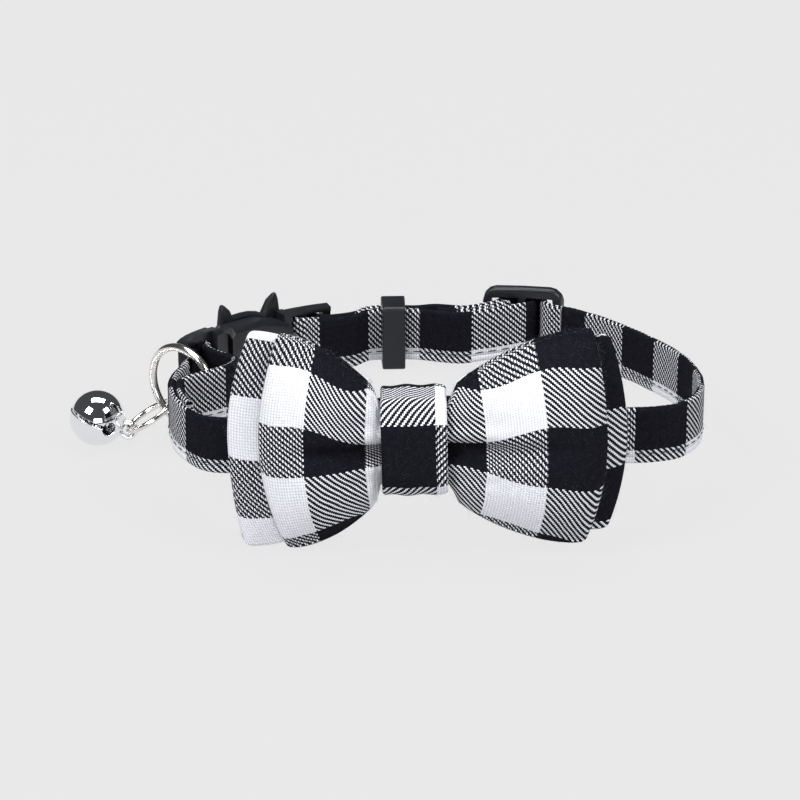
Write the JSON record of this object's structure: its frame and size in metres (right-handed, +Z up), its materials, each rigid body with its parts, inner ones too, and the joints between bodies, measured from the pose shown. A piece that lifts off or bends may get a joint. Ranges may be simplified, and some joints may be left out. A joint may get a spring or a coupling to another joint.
{
  "type": "pet bow tie collar",
  "caption": "Closed cloth cat collar with a layered bow tie gathered by a knot band, a side-release buckle, a slider, a keeper, and a ring with a jingle bell.",
  "frame": {"origin": "under the middle of the whole collar, on the surface that it stands on", "axes": "+Z up, -Y to the front where the bow is, +X to the wearer's left, so the bell is on the -X side"},
  "size_m": [0.1072, 0.0836, 0.038],
  "materials": {
    "cloth": "brushed cotton twill in a black and white buffalo check",
    "plastic": "black moulded plastic, satin",
    "nickel": "nickel plated steel wire",
    "chrome": "mirror plated"
  },
  "bodies": {
    "root": {"bow_back": "cloth", "bow_front": "cloth", "bow_knot": "cloth", "collar_strap": "cloth", "buckle_plug": "plastic", "buckle_socket": "plastic", "strap_keeper": "plastic", "slider": "plastic", "tag_ring": "nickel", "bell_link": "nickel", "bell": "chrome", "bell_pea": "nickel"}
  },
  "joints": []
}
